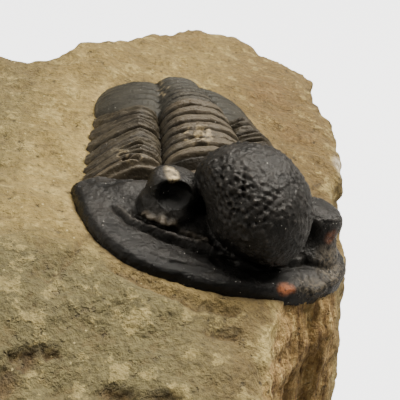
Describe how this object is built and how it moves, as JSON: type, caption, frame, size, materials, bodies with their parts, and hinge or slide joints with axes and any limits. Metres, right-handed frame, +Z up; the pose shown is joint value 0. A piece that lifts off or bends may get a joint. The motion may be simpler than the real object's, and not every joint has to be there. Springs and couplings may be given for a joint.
{
  "type": "trilobite fossil",
  "caption": "Dark trilobite with a wide brimmed head, ball-shaped pitted glabella, tower eyes and ribbed thorax, half freed from a broken block of tan limestone.",
  "frame": {"origin": "centre of the footprint of the whole piece, on the plane of the stone's flat base", "axes": "+Z up out of the base, +Y from the head towards the tail along the long side of the stone, +X towards the animal's left side"},
  "size_m": [0.0706, 0.105, 0.0417],
  "materials": {
    "limestone": "dull, rough broken limestone with rusty patches and pits",
    "head_shell": "black calcite shell with a satin gloss",
    "thorax_shell": "brown-black calcite shell, satin, worn paler on the crests",
    "tail_shell": "grey-black calcite shell, satin"
  },
  "bodies": {
    "root": {"matrix": "limestone", "head_shield": "head_shell", "thorax_segment_1": "thorax_shell", "thorax_segment_2": "thorax_shell", "thorax_segment_3": "thorax_shell", "thorax_segment_4": "thorax_shell", "thorax_segment_5": "thorax_shell", "thorax_segment_6": "thorax_shell", "thorax_segment_7": "thorax_shell", "tail_shield": "tail_shell"}
  },
  "joints": []
}
